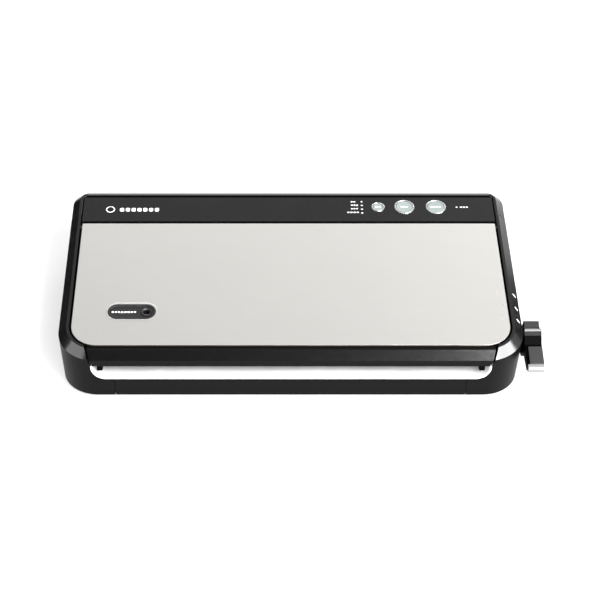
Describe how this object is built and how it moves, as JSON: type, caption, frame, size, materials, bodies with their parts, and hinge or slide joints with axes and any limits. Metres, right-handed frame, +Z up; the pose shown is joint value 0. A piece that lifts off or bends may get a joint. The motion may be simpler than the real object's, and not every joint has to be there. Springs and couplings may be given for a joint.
{
  "type": "vacuum sealer",
  "caption": "Low countertop vacuum sealer with a wedge-shaped black casing, hinged brushed-steel lid, bag mouth at the front, sloping button panel and a side latch lever.",
  "frame": {"origin": "middle of the footprint at the feet, side lever included", "axes": "+X to the right seen from the front, +Y to the back, +Z up"},
  "size_m": [0.4176, 0.21, 0.0736],
  "materials": {
    "black_casing": "satin black moulded plastic",
    "black_inner": "matt black moulded plastic",
    "panel_gloss": "smooth dark panel overlay",
    "brushed_steel": "sheet steel brushed along the width",
    "bright_trim": "bright plated plastic",
    "grip_grey": "satin dark grey",
    "tray_grey": "light grey satin plastic",
    "button_grey": "grey satin button",
    "lamp_lens": "small translucent lens",
    "black_rubber": "matt rubber",
    "gasket_foam": "closed-cell foam",
    "silicone": "white silicone",
    "tape": "brown coated glass cloth",
    "wire": "flat resistance ribbon",
    "plain_steel": "zinc-plated steel",
    "copper": "enamelled copper winding",
    "board_green": "printed circuit board",
    "component_black": "electronic components",
    "clear_tube": "flexible clear tube"
  },
  "bodies": {
    "base": {"bag_tray": "tray_grey", "base_pan": "black_inner", "base_screws": "plain_steel", "board_components": "component_black", "board_posts": "black_inner", "button_bezels": "bright_trim", "button_switches": "black_inner", "chassis_deck": "black_inner", "circuit_board": "board_green", "control_panel": "panel_gloss", "cord_gland": "black_inner", "display_board": "board_green", "drip_tray": "black_inner", "front_bar": "black_casing", "heater_bar": "black_inner", "heater_wire": "wire", "indicator_lamps": "lamp_lens", "latch_switch": "black_inner", "left_rear_corner": "black_casing", "left_side_rail": "black_casing", "lower_gasket": "gasket_foam", "motor_case": "plain_steel", "motor_strap": "black_inner", "pump_bracket": "black_inner", "pump_diaphragm": "black_rubber", "pump_head": "black_inner", "pump_link": "black_inner", "pump_tube": "clear_tube", "rear_housing": "black_casing", "release_valve": "black_inner", "right_rear_corner": "black_casing", "right_side_rail": "black_casing", "rubber_feet": "black_rubber", "seal_tape": "tape", "shaft_bushing": "black_inner", "suction_tube": "clear_tube", "transformer_core": "plain_steel", "transformer_winding": "copper"},
    "lid": {"lid_steel_plate": "brushed_steel", "lid_shell": "black_casing", "lid_liner": "black_inner", "hinge_pins": "black_inner", "upper_gasket": "gasket_foam", "pressure_bar": "silicone", "latch_catches": "plain_steel", "port_plate": "black_inner", "port_socket": "black_inner", "port_tube": "clear_tube", "bag_stops": "black_inner"},
    "latch_lever": {"lever_arm": "black_casing", "lever_grip_pad": "grip_grey", "lever_end_cap": "bright_trim", "lever_screw": "plain_steel", "latch_shaft": "plain_steel", "latch_hooks": "plain_steel"},
    "small_button": {"small_button": "button_grey"},
    "left_button": {"left_button": "button_grey"},
    "right_button": {"right_button": "button_grey"},
    "motor_rotor": {"motor_rotor": "plain_steel", "pump_eccentric": "plain_steel"}
  },
  "joints": [
    {"name": "lid_hinge", "type": "hinge", "parent": "base", "child": "lid", "pos_m": [-0.00885, 0.053, 0.0655], "axis": [-1, 0, 0], "range_deg": [0, 70]},
    {"name": "lever_pivot", "type": "hinge", "parent": "base", "child": "latch_lever", "pos_m": [-0.00885, -0.056, 0.021], "axis": [-1, 0, 0], "range_deg": [0, 46]},
    {"name": "small_button_press", "type": "slide", "parent": "base", "child": "small_button", "axis": [0, 0.1155, -0.9933], "range_m": [0, 0.001], "stiffness_N_per_m": 800, "springref_m": -0.0005},
    {"name": "left_button_press", "type": "slide", "parent": "base", "child": "left_button", "axis": [0, 0.1155, -0.9933], "range_m": [0, 0.001], "stiffness_N_per_m": 800, "springref_m": -0.0005},
    {"name": "right_button_press", "type": "slide", "parent": "base", "child": "right_button", "axis": [0, 0.1155, -0.9933], "range_m": [0, 0.001], "stiffness_N_per_m": 800, "springref_m": -0.0005},
    {"name": "pump_motor_spin", "type": "hinge", "parent": "base", "child": "motor_rotor", "pos_m": [-0.04885, 0.08, 0.031], "axis": [1, 0, 0], "continuous": true}
  ]
}
